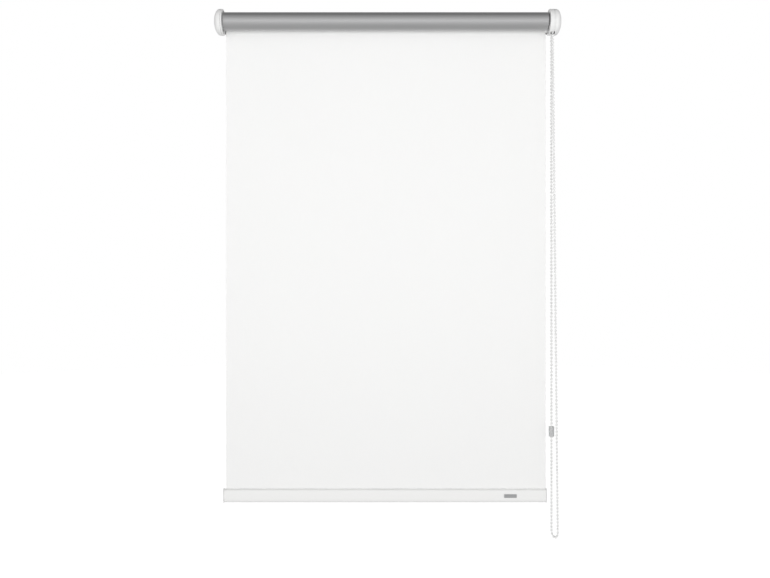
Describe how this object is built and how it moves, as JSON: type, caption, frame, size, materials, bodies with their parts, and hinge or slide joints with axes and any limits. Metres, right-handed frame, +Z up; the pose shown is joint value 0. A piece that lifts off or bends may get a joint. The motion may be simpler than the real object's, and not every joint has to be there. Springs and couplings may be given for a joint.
{
  "type": "roller blind",
  "caption": "Roller blind with an off-white sheet on a silver-backed roll, domed end covers, wall brackets, a side bead chain and a slim white bottom rail.",
  "frame": {"origin": "on the wall plane, midway between the brackets, level with the roller's axis", "axes": "+X along the roller towards the chain, +Y into the wall, +Z up; the fabric hangs in front of the wall at -Y"},
  "size_m": [0.5999, 0.0492, 0.9158],
  "materials": {
    "white_plastic": "satin moulded white",
    "white_paint": "white powder coat",
    "zinc": "dark zinc plate",
    "steel": "plain bright steel",
    "aluminium": "mill finish",
    "silver_coating": "satin aluminium coating on woven cloth",
    "white_fabric": "fine plain weave, off-white",
    "grey_plastic": "moulded grey",
    "dark_plastic": "moulded black",
    "chain_plastic": "smooth white beads",
    "connector_plastic": "smoky grey, slightly translucent"
  },
  "bodies": {
    "frame": {"bracket_left": "zinc", "cover_left": "white_plastic", "idle_socket": "white_plastic", "idle_bush": "grey_plastic", "socket_rivet_lower": "steel", "socket_rivet_upper": "steel", "bracket_right": "zinc", "cover_right": "white_plastic", "chain_housing": "white_plastic", "chain_guide": "grey_plastic", "clutch_core": "grey_plastic", "core_rivet_lower": "steel", "core_rivet_upper": "steel", "hub_retainer": "zinc", "hub_screw": "steel", "bead_chain": "chain_plastic", "fabric_drop": "white_fabric"},
    "roller": {"roller_tube": "aluminium", "tube_spline": "grey_plastic", "fabric_roll": "silver_coating", "idle_plug": "grey_plastic", "idle_spring": "steel", "spring_seat": "steel", "drive_hub": "dark_plastic", "wrap_spring_inner": "steel", "wrap_spring_outer": "steel"},
    "idle_pin": {"idle_pin": "steel"},
    "chain_wheel": {"chain_wheel": "white_plastic"},
    "bottom_bar": {"bottom_rail": "white_paint", "rail_keder": "grey_plastic", "rail_cap_left": "white_plastic", "rail_cap_right": "white_plastic", "rail_badge": "grey_plastic"},
    "connector": {"connector_front": "connector_plastic", "connector_back": "connector_plastic"}
  },
  "joints": [
    {"name": "tube_spin", "type": "hinge", "parent": "frame", "child": "roller", "pos_m": [0, -0.027, 0], "axis": [1, 0, 0], "range_deg": [0, 2680]},
    {"name": "wheel_spin", "type": "hinge", "parent": "frame", "child": "chain_wheel", "pos_m": [0.2878, -0.027, 0], "axis": [1, 0, 0], "range_deg": [0, 2680]},
    {"name": "bar_lift", "type": "slide", "parent": "frame", "child": "bottom_bar", "axis": [0, 0, 1], "range_m": [0, 0.768], "deforming": ["fabric_drop"]},
    {"name": "connector_travel", "type": "slide", "parent": "frame", "child": "connector", "axis": [-0.0009, -0.0024, 1], "range_m": [0, 0.6755]},
    {"name": "idle_pin_press", "type": "slide", "parent": "roller", "child": "idle_pin", "axis": [1, 0, 0], "range_m": [0, 0.0095], "stiffness_N_per_m": 400, "springref_m": -0.005, "deforming": ["idle_spring"]}
  ],
  "couplings": [
    {"joint": "wheel_spin", "follows": "tube_spin", "ratio": 1},
    {"joint": "bar_lift", "follows": "tube_spin", "m_per_rad": 0.0164},
    {"joint": "connector_travel", "follows": "tube_spin", "m_per_rad": 0.01443}
  ]
}
